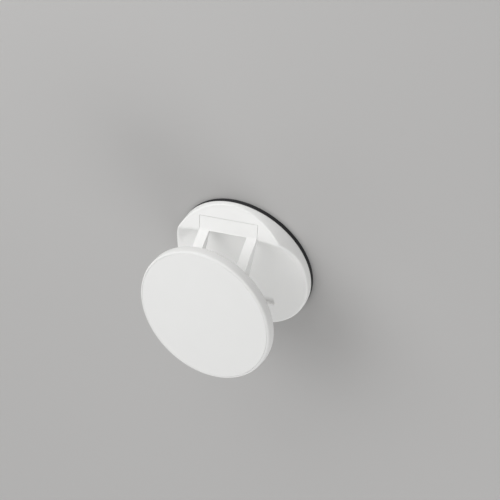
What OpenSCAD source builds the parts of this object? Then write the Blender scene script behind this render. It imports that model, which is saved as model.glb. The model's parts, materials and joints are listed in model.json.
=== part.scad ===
// Foldable phone grip: a stick-on base, a hinged bracket and a round cap that slides on it.
// The hinges run along X, +Z points away from the phone, and the pad's flat face is at Z = 0.

/* [Adhesive pad] */
// Diameter of the foam pad
pad_d = 43.4; // [38:0.2:43.6]
// Thickness of the foam pad
pad_t = 1.1; // [0.6:0.1:1.4]

/* [Base] */
// Largest diameter of the base
base_d = 44.2; // [43:0.2:48]
// Height of the base's flat floor above its underside
floor_h = 3.1; // [3:0.1:4]
// Height of the ridge above the floor
ridge_h = 2.7; // [2.4:0.1:3]
// Distance of the ridge from the base's rim
ridge_rim = 7.9; // [7.4:0.1:8.6]
// Slope of the ramp in front of the ridge
ramp_slope = 27; // [22:1:32]
// Width of the flat top of the ridge
ridge_land = 0.9; // [0.5:0.1:1.2]
// Radius of the corners where the ridge runs into the side walls
basin_corner = 11.4; // [10:0.2:12]
// Radius of the hollow curve between the floor and the walls round it
basin_cove = 4; // [3:0.25:5]
// Where the side walls have run down to the floor
wall_end_y = 3; // [1:0.5:5]
// Rounding of the base's lower edge
lower_round = 0.4; // [0.2:0.1:0.8]

/* [Nail slot] */
// Length of the slot in the floor
slot_l = 17.6; // [12:0.2:20]
// Width of the slot in the floor
slot_w = 2.9; // [2:0.1:3.4]
// Depth of the slot in the floor
slot_depth = 1.5; // [0.8:0.1:1.6]
// Distance of the slot from the base's centre
slot_y = 12.1; // [11.6:0.1:13]

/* [Base plate] */
// Diameter of the plate that closes the underside
plate_d = 38; // [36:0.5:39]
// Thickness of the plate
plate_t = 0.8; // [0.6:0.1:1]
// Gap round the plate
plate_gap = 0.1; // [0.05:0.05:0.2]

/* [Bracket] */
// Width of the bracket
bracket_w = 19.7; // [18:0.1:21]
// Width of each leg
leg_w = 3.4; // [3:0.1:4]
// Height of the bar's sloping face
bar_h = 4.2; // [3.8:0.1:4.4]
// Distance of the hinge pin below the bar's face
bar_depth = 1.35; // [1.3:0.05:1.5]
// Distance between the two hinge pins, along the bracket's back
arm_l = 21.35; // [20:0.05:22]
// Thickness of the bar at its edges
bar_edge = 0.75; // [0.5:0.05:0.9]
// How far the legs' front bulges between the bar and the eyes
leg_bulge = 0.95; // [0.5:0.05:1]
// Outer radius of the eyes at the cap's end
eye_r = 1.58; // [1.5:0.02:1.7]
// How far the bracket folds down from its open position
fold_angle = 48.6; // [44:0.2:50]

/* [Hinge pins] */
// Diameter of both steel pins
pin_d = 1.5; // [1.2:0.1:1.6]
// Radial clearance of a pin in a piece that turns on it
pin_run = 0.05; // [0.03:0.01:0.08]
// Radial clearance of a pin in a piece that holds it
pin_hold = 0.02; // [0.01:0.01:0.03]
// Length of the base pin in each wall of the notch
pin_hold_l = 2.4; // [2:0.1:3]
// Depth of the cap pin's ends below the legs' outer faces
pin_recess = 0.3; // [0.1:0.1:0.5]

/* [Cap] */
// Diameter of the cap
cap_d = 43.5; // [43:0.1:46]
// Thickness of the cap
cap_t = 3.6; // [3.4:0.1:4.2]
// Rounding of the cap's front edge
cap_round = 0.8; // [0.4:0.1:1]
// Rounding of the cap's back edge
cap_back_round = 0.7; // [0.4:0.1:0.8]
// Tilt of the open cap towards the ridge
cap_tilt = 7.6; // [0:0.2:10]
// Diameter of the cap's front plate
face_d = 41.8; // [40:0.2:42]
// Thickness of the front plate
face_t = 1; // [0.8:0.1:1.2]
// Gap round the front plate
face_gap = 0.15; // [0.05:0.05:0.2]

/* [Slider] */
// Width of the slider's knuckle
knuckle_w = 12.3; // [11.5:0.1:12.4]
// Height of the slider's pin below the cap's back
knuckle_drop = 2; // [1.9:0.1:2.2]
// Width of the slider's foot inside the cap
foot_w = 15.4; // [14.5:0.1:17]
// Length of the slider's foot
foot_l = 7; // [5:0.5:8]
// Thickness of the cap's wall behind the foot
lip_t = 0.8; // [0.6:0.1:1]
// Gap round the foot in its track
track_gap = 0.1; // [0.05:0.01:0.15]
// Distance of the knuckle's shoulders below the cap's back
knuckle_gap = 0.2; // [0:0.1:0.4]
// Where the slider stands in the open cap, towards the ridge
slider_y = 3.6; // [3:0.1:5]

/* [Clearances] */
// Gap between the bracket and the sides of its notch
notch_gap = 0.3; // [0.2:0.05:0.4]
// Gap between the folded bracket and the floor
fold_gap = 0.4; // [0.3:0.05:0.6]

/* [Hidden] */
$fn = 96;

base_r = base_d / 2;
// Longer than any piece, for cuts that run right through
tall = 1.5 * base_d;
base_z = pad_t;
floor_z = base_z + floor_h;
ridge_z = floor_z + ridge_h;
ridge_y = base_r - ridge_rim;
rise_r = (pow(ridge_y - ridge_land - wall_end_y, 2) + ridge_h * ridge_h) / (2 * ridge_h);

// The base hinge lies under the middle of the bar's face, which is flush with the ramp
bar_mid = [ridge_y + bar_h / 2 * cos(ramp_slope), ridge_z - bar_h / 2 * sin(ramp_slope)];
hinge = bar_mid - bar_depth * [sin(ramp_slope), cos(ramp_slope)];
// Distance of the bracket's back from the hinge pin, so that it folds down just above the floor
back_off = floor_z + fold_gap - hinge[1];
pin_r = pin_d / 2;
bar_r = norm([bar_h / 2, bar_depth]);
// Turn of the bar's face against the legs' back
bar_turn = fold_angle - ramp_slope;

// The cap's hinge, in the bracket's own frame and in the open position
eye_local = [-arm_l, back_off + eye_r];
eye = hinge + turned(eye_local, -fold_angle);
// Middle of the open cap's back face
cap_back = eye + turned([-slider_y, knuckle_drop], -cap_tilt);
// Travel of the cap along its track, so that it closes centred on the base
slide_travel = slider_y + arm_l - hinge[0];

function turned(p, a) = [p[0] * cos(a) - p[1] * sin(a), p[0] * sin(a) + p[1] * cos(a)];

// Extrudes a drawing in the Y-Z plane to a width across the middle
module across(w) {
    translate([-w / 2, 0, 0]) rotate([90, 0, 90]) linear_extrude(w) children();
}

// A rod along X at a point of the Y-Z plane
module rod(r, l, at) {
    translate([-l / 2, at[0], at[1]]) rotate([0, 90, 0]) cylinder(r = r, h = l);
}

// Puts what is drawn in the cap's own frame where the open cap is
module on_open_cap() {
    translate([0, cap_back[0], cap_back[1]]) rotate([-cap_tilt, 0, 0]) children();
}

// Puts what is drawn folded down, with the hinge at the origin, where the open bracket is
module on_open_bracket() {
    translate([0, hinge[0], hinge[1]]) rotate([-fold_angle, 0, 0]) children();
}

module adhesive_pad() {
    color([0.08, 0.08, 0.09]) cylinder(d = pad_d, h = pad_t);
}

// Side view of the base: floor, rising side walls, ridge and ramp
module base_side() {
    steps = 24;
    rise_a = asin((ridge_y - ridge_land - wall_end_y) / rise_r);
    polygon(concat(
        [[-base_r - 1, base_z], [base_r + 1, base_z],
         [base_r + 1, ridge_z - (base_r + 1 - ridge_y) * tan(ramp_slope)], [ridge_y, ridge_z]],
        [for (i = [steps : -1 : 0])
            let (a = rise_a * i / steps)
            [wall_end_y + rise_r * sin(a), floor_z + rise_r * (1 - cos(a))]],
        [[-base_r - 1, floor_z]]));
}

// Half of the space over the floor in cross-section, from a distance out to the wall: the floor, the
// hollow curve that rises from it, and the wall
module basin_profile(wall) {
    steps = 8;
    rise_a = acos(1 - ridge_h / basin_cove);
    foot = wall - basin_cove * sin(rise_a);
    polygon(concat(
        [[0, 0]],
        [for (i = [0 : steps])
            let (a = rise_a * i / steps)
            [foot + basin_cove * sin(a), basin_cove * (1 - cos(a))]],
        [[wall, tall], [0, tall]]));
}

// The space over the floor: a front part open to the rim, a middle part in front of the ridge and
// two quarter rounds that join them
module basin() {
    half_w = base_r + notch_gap;
    corner_x = half_w - basin_corner;
    corner_y = ridge_y - ridge_land - basin_corner;
    translate([0, corner_y, 0]) {
        for (side = [0, 1]) mirror([side, 0, 0]) {
            rotate([90, 0, 0]) linear_extrude(corner_y + base_r + 1) basin_profile(half_w);
            translate([corner_x, 0, 0]) rotate_extrude(angle = 90) basin_profile(basin_corner);
        }
        translate([-corner_x, 0, 0]) rotate([90, 0, 90]) linear_extrude(2 * corner_x) basin_profile(basin_corner);
    }
}

// The space in which the bar and the legs turn
module notch_side() {
    translate(hinge) circle(r = bar_depth + notch_gap);
    intersection() {
        translate(hinge) circle(r = bar_r + notch_gap);
        translate(hinge - [tall / 2, bar_edge]) square(tall);
    }
    translate([ridge_y - bar_r - 2, floor_z]) square([bar_r + 2 + (hinge[0] - ridge_y), tall]);
}

module base_body() {
    notch_w = bracket_w + 2 * notch_gap;
    color([0.93, 0.93, 0.92]) difference() {
        intersection() {
            across(base_d + 2) base_side();
            rotate_extrude($fn = 192) polygon(concat(
                [[0, base_z]],
                [for (a = [-90 : 15 : 0])
                    [base_r - lower_round + lower_round * cos(a), base_z + lower_round + lower_round * sin(a)]],
                [[base_r, tall], [0, tall]]));
        }
        translate([0, 0, floor_z]) basin();
        across(notch_w) notch_side();
        translate([0, -slot_y, floor_z - slot_depth])
            linear_extrude(tall) square([slot_l, slot_w], center = true);
        translate([0, 0, base_z - 1]) cylinder(d = plate_d + 2 * plate_gap, h = plate_t + 1);
        rod(pin_r + pin_hold, notch_w + 2 * pin_hold_l, hinge);
    }
}

module base_plate() {
    color([0.86, 0.86, 0.86]) translate([0, 0, base_z]) cylinder(d = plate_d, h = plate_t);
}

module base_pin() {
    color("silver") rod(pin_r, bracket_w + 2 * (notch_gap + pin_hold_l) - 0.2, hinge);
}

// Side view of a leg as it lies folded, with the hinge at the origin
module leg_side() {
    steps = 16;
    high = turned([-bar_h / 2, bar_depth], bar_turn);
    top = eye_local + [0, eye_r];
    polygon(concat(
        [turned([bar_h / 2, bar_depth - bar_edge], bar_turn), turned([bar_h / 2, bar_depth], bar_turn)],
        [for (i = [0 : steps])
            let (t = i / steps)
            high + t * (top - high) + [0, 4 * t * (1 - t) * leg_bulge]],
        [for (a = [105 : 15 : 270]) eye_local + eye_r * [cos(a), sin(a)]],
        [[-2 * bar_depth, back_off]],
        [for (a = [-135 : 15 : 0]) bar_depth * [cos(a), sin(a)]]));
}

module bracket() {
    window_w = bracket_w - 2 * leg_w;
    color([0.94, 0.94, 0.93]) on_open_bracket() difference() {
        across(bracket_w) leg_side();
        across(window_w) difference() {
            translate([-arm_l - 2 * eye_r, -tall / 2]) square([arm_l + 2 * eye_r, tall]);
            rotate(bar_turn) translate([-bar_h / 2, -tall]) square([tall, 2 * tall]);
        }
        rod(pin_r + pin_run, bracket_w + 1, [0, 0]);
        rod(pin_r + pin_hold, bracket_w + 1, eye_local);
    }
}

module cap_pin() {
    color("silver") rod(pin_r, bracket_w - 2 * pin_recess, eye);
}

// The slider's knuckle and its foot, in the cap's frame
module cap_slider() {
    color([0.9, 0.9, 0.9]) on_open_cap() translate([0, slider_y, 0]) difference() {
        union() {
            across(knuckle_w) {
                translate([0, -knuckle_drop]) circle(r = eye_r);
                polygon([[-eye_r, -knuckle_drop], [eye_r, -knuckle_drop], [foot_l / 2, -knuckle_gap],
                         [foot_l / 2, cap_t - face_t - track_gap], [-foot_l / 2, cap_t - face_t - track_gap],
                         [-foot_l / 2, -knuckle_gap]]);
            }
            translate([-foot_w / 2, -foot_l / 2, lip_t + track_gap])
                cube([foot_w, foot_l, cap_t - face_t - lip_t - 2 * track_gap]);
        }
        rod(pin_r + pin_run, knuckle_w + 1, [0, -knuckle_drop]);
    }
}

module cap_body() {
    cap_r = cap_d / 2;
    track_l = foot_l + slide_travel + 2 * track_gap;
    track_y = slider_y + foot_l / 2 + track_gap - track_l;
    color([0.94, 0.94, 0.93]) on_open_cap() difference() {
        rotate_extrude($fn = 192) polygon(concat(
            [[0, 0]],
            [for (a = [-90 : 15 : 0])
                [cap_r - cap_back_round + cap_back_round * cos(a), cap_back_round + cap_back_round * sin(a)]],
            [for (a = [0 : 15 : 90])
                [cap_r - cap_round + cap_round * cos(a), cap_t - cap_round + cap_round * sin(a)]],
            [[0, cap_t]]));
        translate([0, 0, cap_t - face_t]) cylinder(d = face_d + 2 * face_gap, h = face_t + 1);
        translate([-foot_w / 2 - track_gap, track_y, lip_t])
            cube([foot_w + 2 * track_gap, track_l, cap_t]);
        translate([-knuckle_w / 2 - track_gap, track_y, -1])
            cube([knuckle_w + 2 * track_gap, track_l, cap_t]);
    }
}

module cap_face() {
    color([0.95, 0.95, 0.94]) on_open_cap()
        translate([0, 0, cap_t - face_t]) cylinder(d = face_d, h = face_t);
}

adhesive_pad();
base_body();
base_plate();
base_pin();
bracket();
cap_pin();
cap_slider();
cap_body();
cap_face();
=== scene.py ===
import json
import math
import bmesh
import bpy
import numpy as np
from mathutils import Matrix, Vector


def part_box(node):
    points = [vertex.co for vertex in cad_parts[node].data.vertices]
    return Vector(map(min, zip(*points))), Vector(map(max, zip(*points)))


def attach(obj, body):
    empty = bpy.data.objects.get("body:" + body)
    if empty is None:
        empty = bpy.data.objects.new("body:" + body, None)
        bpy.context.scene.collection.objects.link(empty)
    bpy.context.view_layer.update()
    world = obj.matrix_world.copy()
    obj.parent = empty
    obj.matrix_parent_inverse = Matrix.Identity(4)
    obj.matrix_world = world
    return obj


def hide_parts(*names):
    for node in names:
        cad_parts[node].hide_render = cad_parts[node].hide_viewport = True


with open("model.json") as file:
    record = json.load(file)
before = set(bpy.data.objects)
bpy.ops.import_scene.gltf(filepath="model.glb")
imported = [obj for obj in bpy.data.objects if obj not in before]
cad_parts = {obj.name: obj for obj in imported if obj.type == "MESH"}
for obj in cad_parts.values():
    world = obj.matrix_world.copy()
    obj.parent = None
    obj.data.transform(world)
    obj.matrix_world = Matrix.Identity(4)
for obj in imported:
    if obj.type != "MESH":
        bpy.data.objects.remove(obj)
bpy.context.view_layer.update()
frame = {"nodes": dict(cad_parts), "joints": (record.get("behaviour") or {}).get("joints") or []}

# Adhesive pad
# A disc of black closed-cell foam with a film of glue on each face, die-cut and stuck under the base.
# Only its edge shows, as a dark line, and it bulges a little, as squeezed foam does. It stands a little
# beyond its CAD solid, so the dark line is partly the black foam's edge and partly painted contact shadow.
MM = 0.001
NEARLY_ALONG_X = 0.9


def piece_from_rings(name, rings, low_pole, high_pole):
    """A closed mesh on a grid: rings[k, j] is point j of ring k, and each ring is joined to the next
    and to itself. The first ring closes on the low pole and the last one on the high pole. Seen from
    the outside the rings run anticlockwise about the direction from the low to the high pole."""
    count, around = rings.shape[:2]
    points = np.concatenate([rings.reshape(-1, 3), [low_pole, high_pole]])
    here = np.arange(around)
    following = np.roll(here, -1)
    first = np.arange(count - 1)[:, None] * around
    quads = np.stack([first + here, first + following, first + around + following,
                      first + around + here], axis=2).reshape(-1, 4)
    low, high = count * around, count * around + 1
    last = (count - 1) * around
    low_fan = np.stack([np.full(around, low), following, here], axis=1)
    high_fan = np.stack([np.full(around, high), last + here, last + following], axis=1)
    mesh = bpy.data.meshes.new(name)
    mesh.from_pydata(points.tolist(), [], quads.tolist() + low_fan.tolist() + high_fan.tolist())
    return bpy.data.objects.new(name, mesh)


def turned_rings(radii, heights, steps, centre=(0.0, 0.0, 0.0), axis=(0.0, 0.0, 1.0)):
    """Rings of a body of revolution: each point of a profile of radii and heights is carried once
    round an axis through the centre, in even steps. The first and last radius are 0, at the poles."""
    axis = Vector(axis)
    side = Vector((1.0, 0.0, 0.0)) if abs(axis.x) < NEARLY_ALONG_X else Vector((0.0, 1.0, 0.0))
    other = axis.cross(side).normalized()
    side = other.cross(axis)
    angle = np.linspace(0.0, 2.0 * math.pi, steps, endpoint=False)
    spokes = np.cos(angle)[:, None] * np.array(side) + np.sin(angle)[:, None] * np.array(other)
    along = np.array(centre) + heights[:, None] * np.array(axis)
    rings = along[:, None, :] + radii[:, None, None] * spokes[None, :, :]
    return rings[1:-1], along[0], along[-1]


def settle(piece, body, *nodes, sharp=35.0):
    """Links a finished piece, shades it smooth up to an angle, and lets it ride for its CAD nodes."""
    bpy.context.scene.collection.objects.link(piece)
    for polygon in piece.data.polygons:
        polygon.use_smooth = True
    piece.data.set_sharp_from_angle(angle=math.radians(sharp))
    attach(piece, body)
    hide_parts(*nodes)
    return piece


class Value:
    """A shader socket on which sums can be written: each operator adds its Math node."""

    def __init__(self, finish, socket):
        self.finish, self.socket = finish, socket

    def _math(self, operation, first, second):
        return self.finish.node("ShaderNodeMath", {"operation": operation}, {0: first, 1: second})[0]

    def __add__(self, other):
        return self._math("ADD", self, other)

    def __radd__(self, other):
        return self._math("ADD", other, self)

    def __sub__(self, other):
        return self._math("SUBTRACT", self, other)

    def __rsub__(self, other):
        return self._math("SUBTRACT", other, self)

    def __mul__(self, other):
        return self._math("MULTIPLY", self, other)

    def __rmul__(self, other):
        return self._math("MULTIPLY", other, self)


OBJECT_OUTPUT = 3
MIX_FACTOR, COLOUR_A, COLOUR_B, COLOUR_OUT = 0, 6, 7, 2


class Finish:
    """A node material under construction, with its Principled shader and its slot in the record."""

    def __init__(self, name, slot=None):
        self.slot = slot or name
        self.material = bpy.data.materials.new(name)
        self.material.use_nodes = True
        self.tree = self.material.node_tree
        self.shader = self.tree.nodes["Principled BSDF"]

    def node(self, kind, settings, inputs):
        """Adds a node, sets its settings and then its sockets, and returns its outputs as values."""
        made = self.tree.nodes.new(kind)
        for key, value in settings.items():
            setattr(made, key, value)
        for key, value in inputs.items():
            if isinstance(value, Value):
                self.tree.links.new(value.socket, made.inputs[key])
            else:
                made.inputs[key].default_value = value
        return [Value(self, socket) for socket in made.outputs]

    def place(self):
        """The point's place on the object, in metres."""
        return self.node("ShaderNodeTexCoord", {}, {})[OBJECT_OUTPUT]

    def noise(self, scale, detail):
        """Soft noise with the given number of waves to the metre."""
        inputs = {"Vector": self.place(), "Scale": scale, "Detail": detail}
        return self.node("ShaderNodeTexNoise", {}, inputs)[0]

    def mix(self, mask, first, second):
        """A colour between two others, by a mask from 0 to 1."""
        outputs = self.node("ShaderNodeMix", {"data_type": "RGBA"},
                            {MIX_FACTOR: mask, COLOUR_A: (*first, 1.0), COLOUR_B: (*second, 1.0)})
        return outputs[COLOUR_OUT]

    def bump(self, height, depth):
        """Raises the surface by a height from 0 to 1 times a depth in metres."""
        normal = self.node("ShaderNodeBump", {}, {"Height": height, "Distance": depth})[0]
        self.feed("Normal", normal)

    def feed(self, socket, value):
        """Sets or links one of the shader's sockets."""
        if isinstance(value, Value):
            self.tree.links.new(value.socket, self.shader.inputs[socket])
        else:
            self.shader.inputs[socket].default_value = value


def dress(piece, finish):
    """Gives a piece or a CAD node one finish all over."""
    if not piece.material_slots:
        piece.data.materials.append(finish.material)
    for slot in piece.material_slots:
        slot.material = finish.material


PAD_FILM = 0.12 * MM
PAD_SQUEEZE = 0.18 * MM
# How far the pad stands beyond its CAD solid, widening its black edge as painted contact shadow.
PAD_REACH_FOR_SHADOW = 0.35 * MM
PAD_LEVELS = 9
PAD_STEPS = 192
FOAM_CELLS = 5200.0
FOAM_DETAIL = 4.0
FOAM_DARK = (0.008, 0.008, 0.009)
FOAM_LIGHT = (0.026, 0.026, 0.028)
FOAM_ROUGHNESS = 0.82
FOAM_ROUGHER = 0.15
FOAM_DEPTH = 0.05 * MM

pad_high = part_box("adhesive_pad")[1]
pad_r = pad_high.x + PAD_REACH_FOR_SHADOW
pad_t = pad_high.z
foam_height = np.linspace(0.0, 1.0, PAD_LEVELS)
pad_radii = np.concatenate([
    [0.0, pad_r - PAD_SQUEEZE], pad_r - PAD_SQUEEZE * (1.0 - np.sin(math.pi * foam_height)),
    [pad_r - PAD_SQUEEZE, 0.0]])
pad_heights = np.concatenate([
    [0.0, 0.0], PAD_FILM + (pad_t - 2.0 * PAD_FILM) * foam_height, [pad_t, pad_t]])
foam_pad = piece_from_rings("foam_pad", *turned_rings(pad_radii, pad_heights, PAD_STEPS))
settle(foam_pad, "base", "adhesive_pad")

foam = Finish("foam")
foam_cells = foam.noise(FOAM_CELLS, FOAM_DETAIL)
foam.feed("Base Color", foam.mix(foam_cells, FOAM_DARK, FOAM_LIGHT))
foam.feed("Roughness", FOAM_ROUGHNESS + FOAM_ROUGHER * foam_cells)
foam.bump(foam_cells, FOAM_DEPTH)
dress(foam_pad, foam)

# Base shell
# A white disc moulded in ABS: a flat floor, a ridge with a ramp in front of it, side walls that run
# down from the ridge to the floor, a notch for the bracket and a slot in the floor. Its underside is
# open for the closing plate. The notch and the slot are cut out of the plain shape.
FLOOR_TOP = 4.2 * MM
RIDGE_FROM_RIM = 7.9 * MM
RIDGE_LAND = 0.9 * MM
RIDGE_CROWN = 0.3 * MM
RAMP_SLOPE = math.radians(27.0)
WALL_END_Y = 3.0 * MM
BASIN_CORNER = 11.4 * MM
BASIN_COVE = 1.7 * MM
BASIN_SLOPE = math.radians(54.0)
NOTCH_GAP = 0.3 * MM
CREST_SOFTNESS = 1.2 * MM
RAMP_SOFTNESS = 0.7 * MM
RIM_ROUND = 0.6 * MM
LOWER_ROUND = 0.7 * MM
PLATE_GAP = 0.1 * MM
CREST_FADE = 1.2
LEAST_SOFTNESS = 0.001 * MM
SHELL_STEPS = 320
SHELL_RINGS = 120
EDGE_STEPS = 7

shell_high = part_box("base_body")[1]
plate_low, plate_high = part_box("base_plate")
shell_r = shell_high.x
ridge_top = shell_high.z
ridge_y = shell_r - RIDGE_FROM_RIM


def softer_of(first, second, width):
    """The lower of two heights, rounded off over a width where they cross: a smooth minimum."""
    share = np.clip(0.5 + 0.5 * (second - first) / width, 0.0, 1.0)
    return second * (1.0 - share) + first * share - width * share * (1.0 - share)


def shell_height(x, y):
    """Height of the shell's upper side over a point of its plan. From the rim the ramp rises to the
    ridge; behind it a flat land ends in an arc that falls to the floor. Round the floor a hollow cove,
    an arc of a circle, rises to a steep straight wall. The height is the lower of the two, with a soft
    crest between."""
    land_back = ridge_y - RIDGE_LAND
    rise = ridge_top - FLOOR_TOP
    crown_rise = rise + RIDGE_CROWN
    arc_r = ((land_back - WALL_END_Y) ** 2 + crown_rise ** 2) / (2.0 * crown_rise)
    back = np.clip(y - WALL_END_Y, 0.0, land_back - WALL_END_Y)
    arc = FLOOR_TOP + arc_r - np.sqrt(arc_r ** 2 - back ** 2)
    ramp = ridge_top - (y - ridge_y) * math.tan(RAMP_SLOPE)
    outside = softer_of(arc, ramp, RAMP_SOFTNESS)
    bend = BASIN_COVE * math.sin(BASIN_SLOPE)
    bend_rise = BASIN_COVE * (1.0 - math.cos(BASIN_SLOPE))
    reach = bend + (rise - bend_rise) / math.tan(BASIN_SLOPE)
    corner_x = shell_r + NOTCH_GAP - BASIN_CORNER
    corner_y = land_back - BASIN_CORNER
    out = np.hypot(np.maximum(np.abs(x) - corner_x, 0.0), np.maximum(y - corner_y, 0.0))
    up = np.maximum(out - (BASIN_CORNER - reach), 0.0)
    curved = np.minimum(up, bend)
    straight = (up - curved) * math.tan(BASIN_SLOPE)
    cove = FLOOR_TOP + BASIN_COVE - np.sqrt(BASIN_COVE ** 2 - curved ** 2) + straight
    softness = np.minimum(CREST_SOFTNESS, CREST_FADE * (arc - FLOOR_TOP) + LEAST_SOFTNESS)
    return np.maximum(softer_of(outside, cove, softness), np.minimum(FLOOR_TOP, ramp))


def shell_rings(steps):
    """Rings from the recess for the closing plate out over the lower edge, up the wall, over the
    rounded rim and in across the upper side. The rim's quarter round hangs from the height inside it."""
    angle = np.linspace(0.0, 2.0 * math.pi, steps, endpoint=False)
    quarter = np.linspace(0.0, 0.5 * math.pi, EDGE_STEPS)
    recess_r = plate_high.x + PLATE_GAP
    under_z = plate_low.z
    low_r = np.concatenate([[recess_r, recess_r], shell_r - LOWER_ROUND * (1.0 - np.sin(quarter))])
    low_z = np.concatenate([[plate_high.z, under_z], under_z + LOWER_ROUND * (1.0 - np.cos(quarter))])
    edge_r = shell_r - RIM_ROUND
    rim_r = edge_r + RIM_ROUND * np.cos(quarter)
    rim_drop = RIM_ROUND * (1.0 - np.sin(quarter))
    top_r = np.linspace(edge_r, 0.0, SHELL_RINGS)[1:-1]
    unit = np.stack([np.cos(angle), np.sin(angle)])
    edge_z = shell_height(edge_r * unit[0], edge_r * unit[1])
    upper_r = np.concatenate([rim_r, top_r])
    rim_z = edge_z[None, :] - rim_drop[:, None]
    top_z = shell_height(top_r[:, None] * unit[0], top_r[:, None] * unit[1])
    all_r = np.concatenate([low_r, upper_r])
    all_z = np.concatenate([np.repeat(low_z[:, None], steps, axis=1), rim_z, top_z])
    rings = np.stack([all_r[:, None] * unit[0], all_r[:, None] * unit[1], all_z], axis=2)
    return rings, (0.0, 0.0, plate_high.z), (0.0, 0.0, float(FLOOR_TOP))


def prism(name, outline, low, high, along):
    """A closed prism: a flat outline, given anticlockwise, carried from low to high along X or Z."""
    count = len(outline)
    ends = []
    for reach in (low, high):
        level = np.full((count, 1), reach)
        ends.append(np.hstack([level, outline]) if along == "X" else np.hstack([outline, level]))
    here = np.arange(count)
    following = np.roll(here, -1)
    sides = np.stack([here, following, count + following, count + here], axis=1)
    mesh = bpy.data.meshes.new(name)
    mesh.from_pydata(np.concatenate(ends).tolist(), [],
                     sides.tolist() + [here[::-1].tolist(), (count + here).tolist()])
    return bpy.data.objects.new(name, mesh)


def cut_out(piece, cutters):
    """Cuts the cutters out of a piece for good, and throws them away."""
    collection = bpy.context.scene.collection
    collection.objects.link(piece)
    for cutter in cutters:
        collection.objects.link(cutter)
        cut = piece.modifiers.new("cut", "BOOLEAN")
        cut.operation = "DIFFERENCE"
        cut.solver = "EXACT"
        cut.object = cutter
    graph = bpy.context.evaluated_depsgraph_get()
    finished = bpy.data.meshes.new_from_object(piece.evaluated_get(graph))
    piece.modifiers.clear()
    piece.data = finished
    for cutter in cutters:
        bpy.data.objects.remove(cutter)
    collection.objects.unlink(piece)
    return piece


hinge_at = {joint["name"]: Vector(joint["pos_m"]) for joint in frame["joints"] if "pos_m" in joint}
BAR_DEPTH = 1.35 * MM
BAR_HEIGHT = 4.2 * MM
BAR_EDGE = 0.75 * MM
SEAM = 0.06 * MM
SIDE_SEAM = 0.11 * MM
BELLY_GAP = 0.02 * MM
NOTCH_BACK = 4.5 * MM
NOTCH_STEP = 1.05 * MM
OVER = 5.0 * MM
ARC_STEPS = 40
TROUGH_STEPS = 24
QUARTER_STEPS = 6


def arc_points(centre, radius, start, end, steps):
    """Points of an arc of a circle, anticlockwise from one angle to another, in degrees."""
    angle = np.radians(np.linspace(start, end, steps))
    return np.stack([centre[0] + radius * np.cos(angle), centre[1] + radius * np.sin(angle)], axis=1)


def notch_outline():
    """Side view of the notch: the circle that the bar's corners sweep, down to a step that clears the
    bar's lower flank; under it the round trough of the bar's belly; and the open space over the floor
    behind the hinge."""
    pivot = hinge_at["base_hinge"].yz
    sweep_r = math.hypot(BAR_HEIGHT / 2.0, BAR_DEPTH) + SEAM
    belly_r = BAR_DEPTH + BELLY_GAP
    lip = -math.degrees(math.asin(NOTCH_STEP / sweep_r))
    belly_lip = -math.degrees(math.asin(NOTCH_STEP / belly_r))
    belly_back = -180.0 + math.degrees(math.asin((pivot[1] - FLOOR_TOP) / belly_r))
    back_y = ridge_y - NOTCH_BACK
    top_z = ridge_top + OVER
    return np.concatenate([
        arc_points(pivot, sweep_r, lip, 90.0, ARC_STEPS),
        [(pivot[0], top_z), (back_y, top_z), (back_y, FLOOR_TOP)],
        arc_points(pivot, belly_r, belly_back, belly_lip, TROUGH_STEPS)])


SLOT_LENGTH = 17.6 * MM
SLOT_WIDTH = 2.9 * MM
SLOT_DEPTH = 1.0 * MM
SLOT_FROM_CENTRE = 12.1 * MM
SLOT_CORNER = 0.35 * MM


def slot_outline():
    """Plan of the slot: a long rectangle with its corners rounded by quarter circles."""
    half_x = SLOT_LENGTH / 2.0 - SLOT_CORNER
    half_y = SLOT_WIDTH / 2.0 - SLOT_CORNER
    corners = [(half_x, half_y, 0.0), (-half_x, half_y, 90.0),
               (-half_x, -half_y, 180.0), (half_x, -half_y, 270.0)]
    return np.concatenate([
        arc_points((x, y - SLOT_FROM_CENTRE), SLOT_CORNER, start, start + 90.0, QUARTER_STEPS)
        for x, y, start in corners])


bracket_low, bracket_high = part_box("bracket")
notch_half = bracket_high.x + SIDE_SEAM
base_shell = piece_from_rings("base_shell", *shell_rings(SHELL_STEPS))
notch_cutter = prism("notch_cutter", notch_outline(), -notch_half, notch_half, "X")
slot_cutter = prism("slot_cutter", slot_outline(), FLOOR_TOP - SLOT_DEPTH, FLOOR_TOP + OVER, "Z")
settle(cut_out(base_shell, [notch_cutter, slot_cutter]), "base", "base_body")

GRAIN_SCALE = 9000.0
GRAIN_DETAIL = 3.0
CLOUD_SCALE = 120.0
CLOUD_DETAIL = 2.0
CLOUD_SHADE = 0.975
PLASTIC_ROUGHNESS = 0.5
GRAIN_ROUGHNESS = 0.12
PLASTIC_SPECULAR = 0.3
SHELL_WHITE = (0.85, 0.85, 0.84)
SHELL_GRAIN = 0.006 * MM


def satin_plastic(name, colour, grain_depth, slot=None):
    """Moulded plastic: an even colour with a fine spark-eroded grain."""
    finish = Finish(name, slot)
    grain = finish.noise(GRAIN_SCALE, GRAIN_DETAIL)
    cloud = finish.noise(CLOUD_SCALE, CLOUD_DETAIL)
    darker = tuple(CLOUD_SHADE * channel for channel in colour)
    finish.feed("Base Color", finish.mix(cloud, darker, colour))
    finish.feed("Roughness", PLASTIC_ROUGHNESS + GRAIN_ROUGHNESS * grain)
    finish.feed("Specular IOR Level", PLASTIC_SPECULAR)
    finish.bump(grain, grain_depth)
    return finish


white_shell = satin_plastic("white_shell", SHELL_WHITE, SHELL_GRAIN)
dress(base_shell, white_shell)

# Closing plate
# A plain moulded disc, pressed into the base's underside. The pad is stuck over it.
INNER_GREY = (0.72, 0.72, 0.71)
INNER_GRAIN = 0.004 * MM

inner_plastic = satin_plastic("inner_plastic", INNER_GREY, INNER_GRAIN)
dress(frame["nodes"]["base_plate"], inner_plastic)

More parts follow.
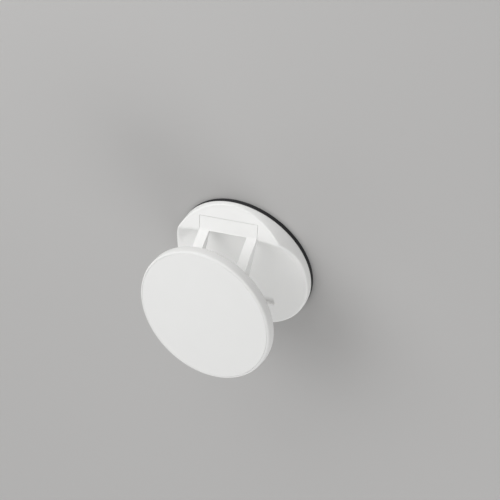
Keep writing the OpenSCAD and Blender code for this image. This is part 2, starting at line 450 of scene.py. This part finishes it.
# Hinge pins
# Two ground steel pins with rounded ends: one through the bracket's bar, one through the eyes.
PIN_END = 0.2 * MM
PIN_STEPS = 64
STEEL_COLOUR = (0.62, 0.62, 0.63, 1.0)
STEEL_ROUGHNESS = 0.22
STEEL_ROUGHER = 0.1
STEEL_SCALE = 4000.0
STEEL_DETAIL = 2.0


def pin_rings(node, steps):
    """Rings of a pin that lies along X: a straight rod whose ends are rounded by quarter circles."""
    low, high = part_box(node)
    radius = (high.z - low.z) / 2.0
    quarter = np.linspace(0.0, 0.5 * math.pi, QUARTER_STEPS)
    radii = np.concatenate([[0.0], radius - PIN_END * (1.0 - np.sin(quarter)),
                            radius - PIN_END * (1.0 - np.cos(quarter)), [0.0]])
    heights = np.concatenate([[low.x], low.x + PIN_END * (1.0 - np.cos(quarter)),
                              high.x - PIN_END * (1.0 - np.sin(quarter)), [high.x]])
    centre = (0.0, (low.y + high.y) / 2.0, (low.z + high.z) / 2.0)
    return turned_rings(radii, heights, steps, centre, (1.0, 0.0, 0.0))


steel = Finish("steel")
steel.feed("Base Color", STEEL_COLOUR)
steel.feed("Metallic", 1.0)
steel.feed("Roughness", STEEL_ROUGHNESS + STEEL_ROUGHER * steel.noise(STEEL_SCALE, STEEL_DETAIL))
for node, body in (("base_pin", "base"), ("cap_pin", "bracket")):
    pin = piece_from_rings("steel_" + node, *pin_rings(node, PIN_STEPS))
    settle(pin, body, node)
    dress(pin, steel)

# Bracket
# One piece of the same white plastic: a bar with two legs that are thickest in their middle and end
# in round eyes. The two pins' bores run through it, and the mould rounds its edges all over.
LEG_WIDTH = 3.4 * MM
LEG_BULGE = 0.95 * MM
EYE_R = 1.58 * MM
FOLD_GAP = 0.4 * MM
BORE_R = 0.8 * MM
HOLD_R = 0.77 * MM
CREASE_ON_BAR = 0.25 * MM
CREASE_ON_LEG = 0.1
LEG_ROUND = 0.2 * MM
ROUND_SEGMENTS = 3
ROUNDED_ANGLE = 32.0
MOULDED_SHARP = 60.0
FRONT_STEPS = 90
CREASE_STEPS = 14
EYE_START, EYE_END = 96.0, 270.0
BELLY_START = -135.0
BACK_REACH = 2.0 * BAR_DEPTH
BORE_STEPS = 48
BEYOND = 40.0 * MM


def turned(points, degrees):
    """Points of the side view turned about the origin, from Y towards Z."""
    angle = math.radians(degrees)
    return np.asarray(points) @ np.array([[math.cos(angle), math.sin(angle)],
                                          [-math.sin(angle), math.cos(angle)]])


def bracket_outline(bar_turn, eye, back):
    """Side view of the folded bracket, with its hinge at the origin: the bar's flat face, a soft crease
    on a parabola, the front of the legs with its own parabola on it, the round eye, the flat back, a
    straight flank, and the round belly of the bar."""
    bar_face = turned([(BAR_HEIGHT / 2.0, BAR_DEPTH - BAR_EDGE), (BAR_HEIGHT / 2.0, BAR_DEPTH)], bar_turn)
    corner, before = turned([(-BAR_HEIGHT / 2.0, BAR_DEPTH),
                             (CREASE_ON_BAR - BAR_HEIGHT / 2.0, BAR_DEPTH)], bar_turn)
    top = eye + (0.0, EYE_R)
    share = np.linspace(CREASE_ON_LEG, 1.0, FRONT_STEPS)[:, None]
    front = corner + share * (top - corner) + 4.0 * share * (1.0 - share) * np.array((0.0, LEG_BULGE))
    bend = np.linspace(0.0, 1.0, CREASE_STEPS)[:-1, None]
    crease = (1.0 - bend) ** 2 * before + 2.0 * bend * (1.0 - bend) * corner + bend ** 2 * front[0]
    eye_arc = arc_points(eye, EYE_R, EYE_START, EYE_END, ARC_STEPS)
    belly = arc_points((0.0, 0.0), BAR_DEPTH, BELLY_START, 0.0, ARC_STEPS)
    return np.concatenate([bar_face, crease, front, eye_arc, [(-BACK_REACH, back)], belly])


def finished_edges(piece, radius, segments):
    """Rounds a piece's sharp edges to a radius."""
    rounding = piece.modifiers.new("rounding", "BEVEL")
    rounding.width = radius
    rounding.segments = segments
    rounding.limit_method = "ANGLE"
    rounding.angle_limit = math.radians(ROUNDED_ANGLE)
    rounding.harden_normals = True
    return piece


fold_degrees = next(joint["range_deg"][1] for joint in frame["joints"] if joint["name"] == "base_hinge")
hinge_yz = np.array(hinge_at["base_hinge"].yz)
eye_yz = np.array(hinge_at["cap_hinge"].yz)
bar_turn = fold_degrees - math.degrees(RAMP_SLOPE)
folded_view = bracket_outline(bar_turn, turned(eye_yz - hinge_yz, fold_degrees),
                              FLOOR_TOP + FOLD_GAP - hinge_yz[1])
side_view = turned(folded_view, -fold_degrees) + hinge_yz
window_view = turned([(-BEYOND, -BEYOND), (-BAR_HEIGHT / 2.0, -BEYOND), (-BAR_HEIGHT / 2.0, BEYOND),
                      (-BEYOND, BEYOND)], bar_turn - fold_degrees) + hinge_yz
window_half = bracket_high.x - LEG_WIDTH
bracket_frame = prism("bracket_frame", side_view, bracket_low.x, bracket_high.x, "X")
openings = [
    prism("window", window_view, -window_half, window_half, "X"),
    prism("bar_bore", arc_points(hinge_yz, BORE_R, 0.0, 360.0, BORE_STEPS + 1)[:-1], -shell_r, shell_r, "X"),
    prism("eye_bore", arc_points(eye_yz, HOLD_R, 0.0, 360.0, BORE_STEPS + 1)[:-1], -shell_r, shell_r, "X")]
finished_edges(cut_out(bracket_frame, openings), LEG_ROUND, ROUND_SEGMENTS)
settle(bracket_frame, "bracket", "bracket", sharp=MOULDED_SHARP)
dress(bracket_frame, white_shell)

# Slider
# The knuckle that the legs hold, with a foot that runs in the cap's track: plain moulded plastic.
SLIDER_ROUND = 0.15 * MM
WELD = 1e-7
FACET_ANGLE = math.radians(0.5)


def rounded_copy(name, node, radius, segments):
    """The CAD node's own surface with its facets joined and its sharp edges rounded to a radius."""
    source = bmesh.new()
    source.from_mesh(frame["nodes"][node].data)
    bmesh.ops.remove_doubles(source, verts=source.verts, dist=WELD)
    bmesh.ops.dissolve_limit(source, angle_limit=FACET_ANGLE, verts=source.verts, edges=source.edges)
    points = [tuple(vertex.co) for vertex in source.verts]
    faces = [[vertex.index for vertex in face.verts] for face in source.faces]
    source.free()
    mesh = bpy.data.meshes.new(name)
    mesh.from_pydata(points, [], faces)
    return finished_edges(bpy.data.objects.new(name, mesh), radius, segments)


slider = rounded_copy("slider", "cap_slider", SLIDER_ROUND, ROUND_SEGMENTS)
settle(slider, "slider", "cap_slider", sharp=MOULDED_SHARP)
dress(slider, inner_plastic)

# Cap shell
# The round cap's back and rim, moulded in the same white plastic, with the slider's track cut
# through its back. Its white is painted darker than the base's: painted shade, not another plastic.
CAP_SHELL_ROUND = 0.1 * MM
CAP_SHELL_SEGMENTS = 2
# The base's white made darker for the whole cap: painted shade.
CAP_SHADED_WHITE = (0.80, 0.80, 0.79)

cap_shell = rounded_copy("cap_shell", "cap_body", CAP_SHELL_ROUND, CAP_SHELL_SEGMENTS)
settle(cap_shell, "cap", "cap_body", sharp=MOULDED_SHARP)
cap_white_shaded = satin_plastic("cap_white_shaded", CAP_SHADED_WHITE, SHELL_GRAIN, "white_shell")
dress(cap_shell, cap_white_shaded)

# Cap face
# A round front plate of the same white plastic, pressed into the cap's rim, with a hairline groove
# left round it. Its edge is rounded off. It shares the cap's darker white, which is painted shade.
FACE_T = 1.0 * MM
FACE_EDGE = 0.12 * MM
FACE_FITS = 0.11 * MM
FACE_STEPS = 256

face_low, face_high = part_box("cap_face")
face_r = face_high.x + FACE_FITS
track = Vector(next(joint["axis"] for joint in frame["joints"] if joint["name"] == "cap_slide"))
turn_in = np.linspace(0.0, 0.5 * math.pi, QUARTER_STEPS)
face_radii = np.concatenate([[0.0, face_r], face_r - FACE_EDGE * (1.0 - np.cos(turn_in)), [0.0]])
face_heights = np.concatenate([
    [0.0, 0.0], FACE_T - FACE_EDGE * (1.0 - np.sin(turn_in)), [FACE_T]]) - FACE_T / 2.0
face_middle = (face_low + face_high) / 2.0
face_normal = Vector((1.0, 0.0, 0.0)).cross(track)
face_plate = piece_from_rings("face_plate", *turned_rings(
    face_radii, face_heights, FACE_STEPS, face_middle, face_normal))
settle(face_plate, "cap", "cap_face")
dress(face_plate, cap_white_shaded)

# Camera
# The photograph looks down on the open grip from the ridge's right-hand side, through a long lens
# that stands about 0.6 m away.
CAMERA_AT = Vector((304.08, 384.29, 405.26)) * MM
VIEW_RIGHT = Vector((0.863097, -0.186203, -0.469459))
VIEW_DOWN = Vector((0.163433, -0.776559, 0.608478))
FOCAL_PIXELS = 2118.0
PHOTO_PIXELS = 500
SENSOR_MM = 36.0

camera_data = bpy.data.cameras.new("photo_camera")
camera_data.sensor_width = SENSOR_MM
camera_data.lens = FOCAL_PIXELS / PHOTO_PIXELS * SENSOR_MM
camera = bpy.data.objects.new("photo_camera", camera_data)
view_back = -VIEW_RIGHT.cross(VIEW_DOWN)
camera.matrix_world = Matrix.Translation(CAMERA_AT) @ Matrix(
    (VIEW_RIGHT, -VIEW_DOWN, view_back)).transposed().to_4x4()
bpy.context.scene.collection.objects.link(camera)
bpy.context.scene.camera = camera

# Floor and light
# A plain pale grey floor under the pad, an even white surround and five round soft lamps: two key
# lamps from the picture's left, and weaker ones beside the ridge, beyond the slot and at the lower
# left, which leave the right-hand side in a light shade.
FLOOR_HALF = 1.5
FLOOR_GREY = (0.46, 0.455, 0.45, 1.0)
FLOOR_ROUGHNESS = 0.8
SURROUND_STRENGTH = 0.45

floor_mesh = bpy.data.meshes.new("floor")
floor_mesh.from_pydata([(-FLOOR_HALF, -FLOOR_HALF, 0), (FLOOR_HALF, -FLOOR_HALF, 0),
                        (FLOOR_HALF, FLOOR_HALF, 0), (-FLOOR_HALF, FLOOR_HALF, 0)], [], [(0, 1, 2, 3)])
floor = bpy.data.objects.new("floor", floor_mesh)
bpy.context.scene.collection.objects.link(floor)
floor_paint = Finish("floor_paint")
floor_paint.feed("Base Color", FLOOR_GREY)
floor_paint.feed("Roughness", FLOOR_ROUGHNESS)
floor_mesh.materials.append(floor_paint.material)

world = bpy.data.worlds.new("studio")
world.use_nodes = True
world.node_tree.nodes["Background"].inputs["Color"].default_value = (1.0, 1.0, 1.0, 1.0)
world.node_tree.nodes["Background"].inputs["Strength"].default_value = SURROUND_STRENGTH
bpy.context.scene.world = world


def soft_lamp(name, azimuth, elevation, distance, size, power):
    """A round area lamp that looks at the grip from an azimuth and an elevation in degrees."""
    turn, rise = math.radians(azimuth), math.radians(elevation)
    toward = Vector((math.cos(turn) * math.cos(rise), math.sin(turn) * math.cos(rise), math.sin(rise)))
    data = bpy.data.lights.new(name, "AREA")
    data.shape = "DISK"
    data.size = size
    data.energy = power
    lamp = bpy.data.objects.new(name, data)
    lamp.location = toward * distance
    lamp.rotation_euler = toward.to_track_quat("Z", "Y").to_euler()
    bpy.context.scene.collection.objects.link(lamp)


soft_lamp("key", azimuth=135.0, elevation=45.0, distance=0.9, size=0.8, power=2.2)
soft_lamp("key_near", azimuth=120.0, elevation=40.0, distance=0.35, size=0.25, power=0.2)
soft_lamp("ridge_side", azimuth=90.0, elevation=15.0, distance=0.5, size=0.35, power=0.82)
soft_lamp("slot_side", azimuth=308.0, elevation=25.0, distance=0.6, size=0.5, power=1.45)
soft_lamp("left_side", azimuth=225.0, elevation=20.0, distance=0.6, size=0.5, power=0.5)

bpy.context.scene.view_settings.view_transform = "Standard"
